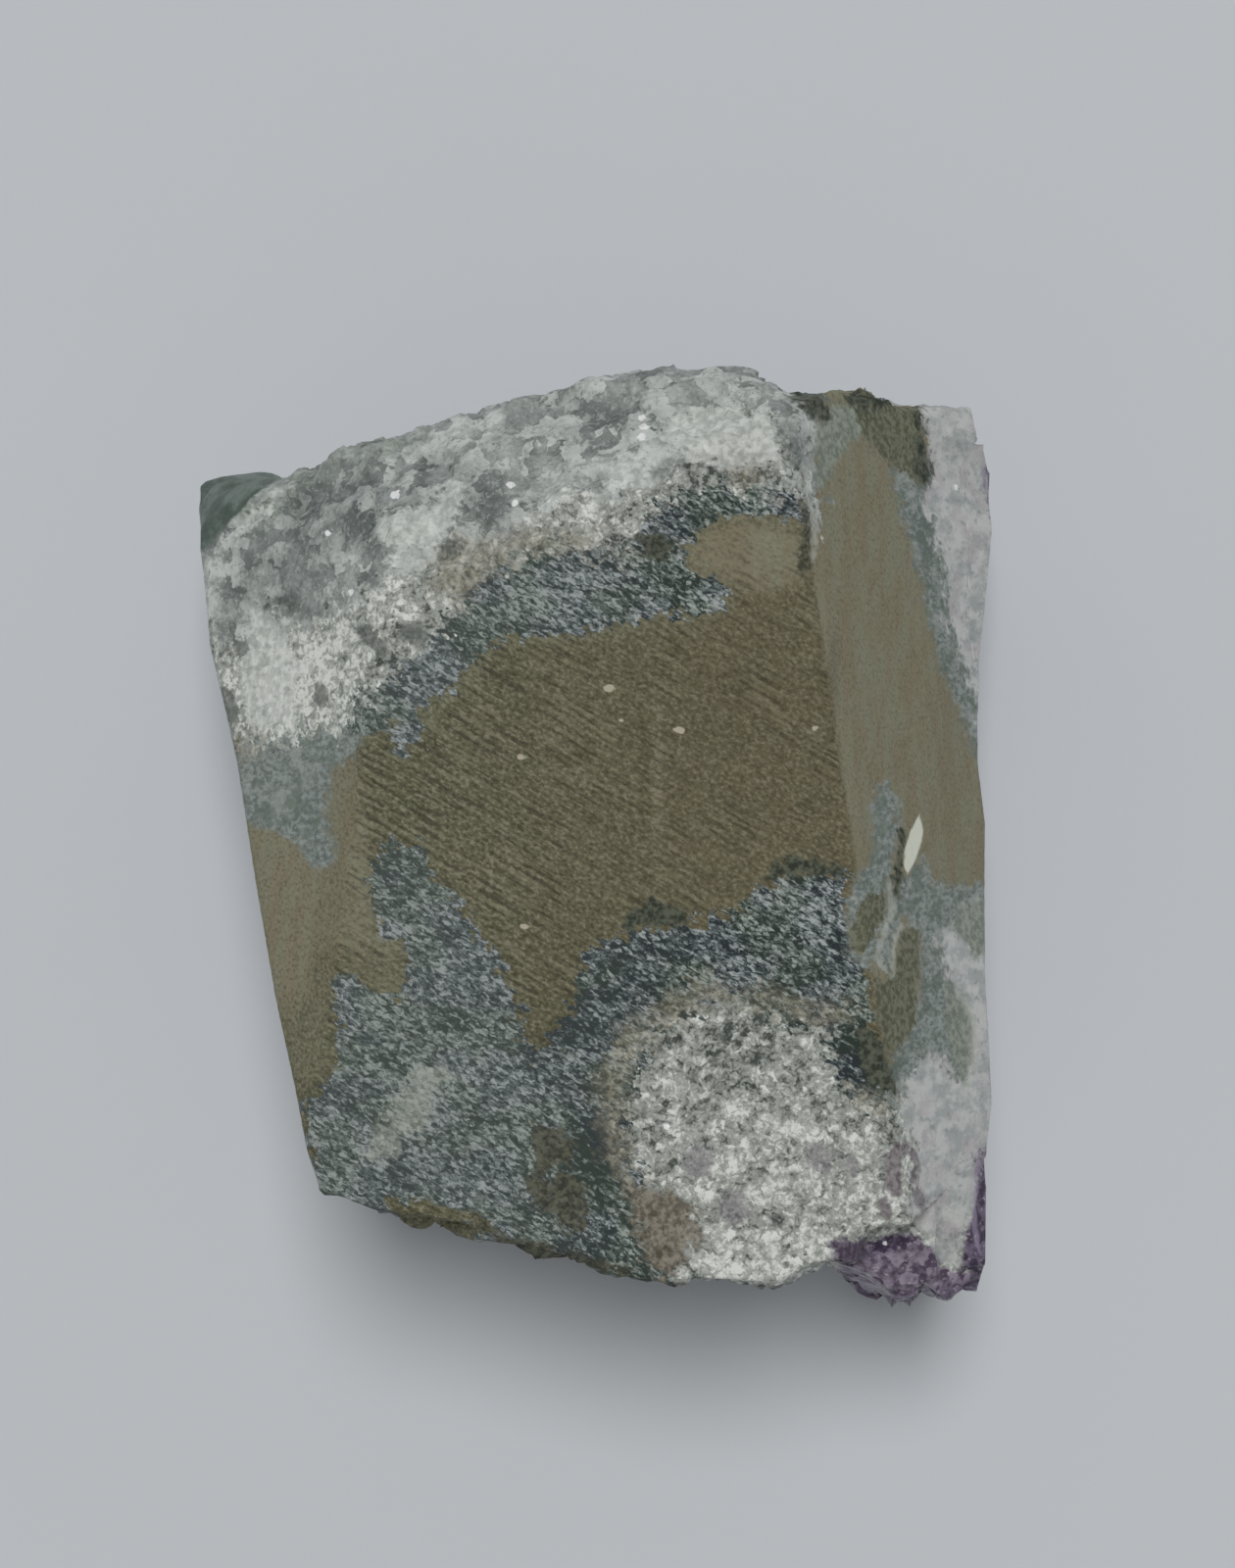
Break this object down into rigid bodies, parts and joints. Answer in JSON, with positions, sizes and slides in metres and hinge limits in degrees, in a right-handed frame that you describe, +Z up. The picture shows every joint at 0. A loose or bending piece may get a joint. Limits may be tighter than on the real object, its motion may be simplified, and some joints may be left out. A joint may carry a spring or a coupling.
{
  "type": "amethyst cluster",
  "caption": "Sawn piece of a geode's wall: grey-brown rock with white quartz above, pointed amethyst crystals below, lying on its crystals.",
  "frame": {"origin": "middle of the bounding box, at the level that the crystal tips stand on", "axes": "+Z up out of the sawn back, +Y along the longest side towards the broken quartz edge, +X towards the long sloping saw cut"},
  "size_m": [0.0436, 0.0506, 0.028],
  "materials": {
    "wall_rock": "matte",
    "amethyst": "gloss"
  },
  "bodies": {
    "root": {"matrix": "wall_rock", "amethyst_crystals": "amethyst"}
  },
  "joints": []
}
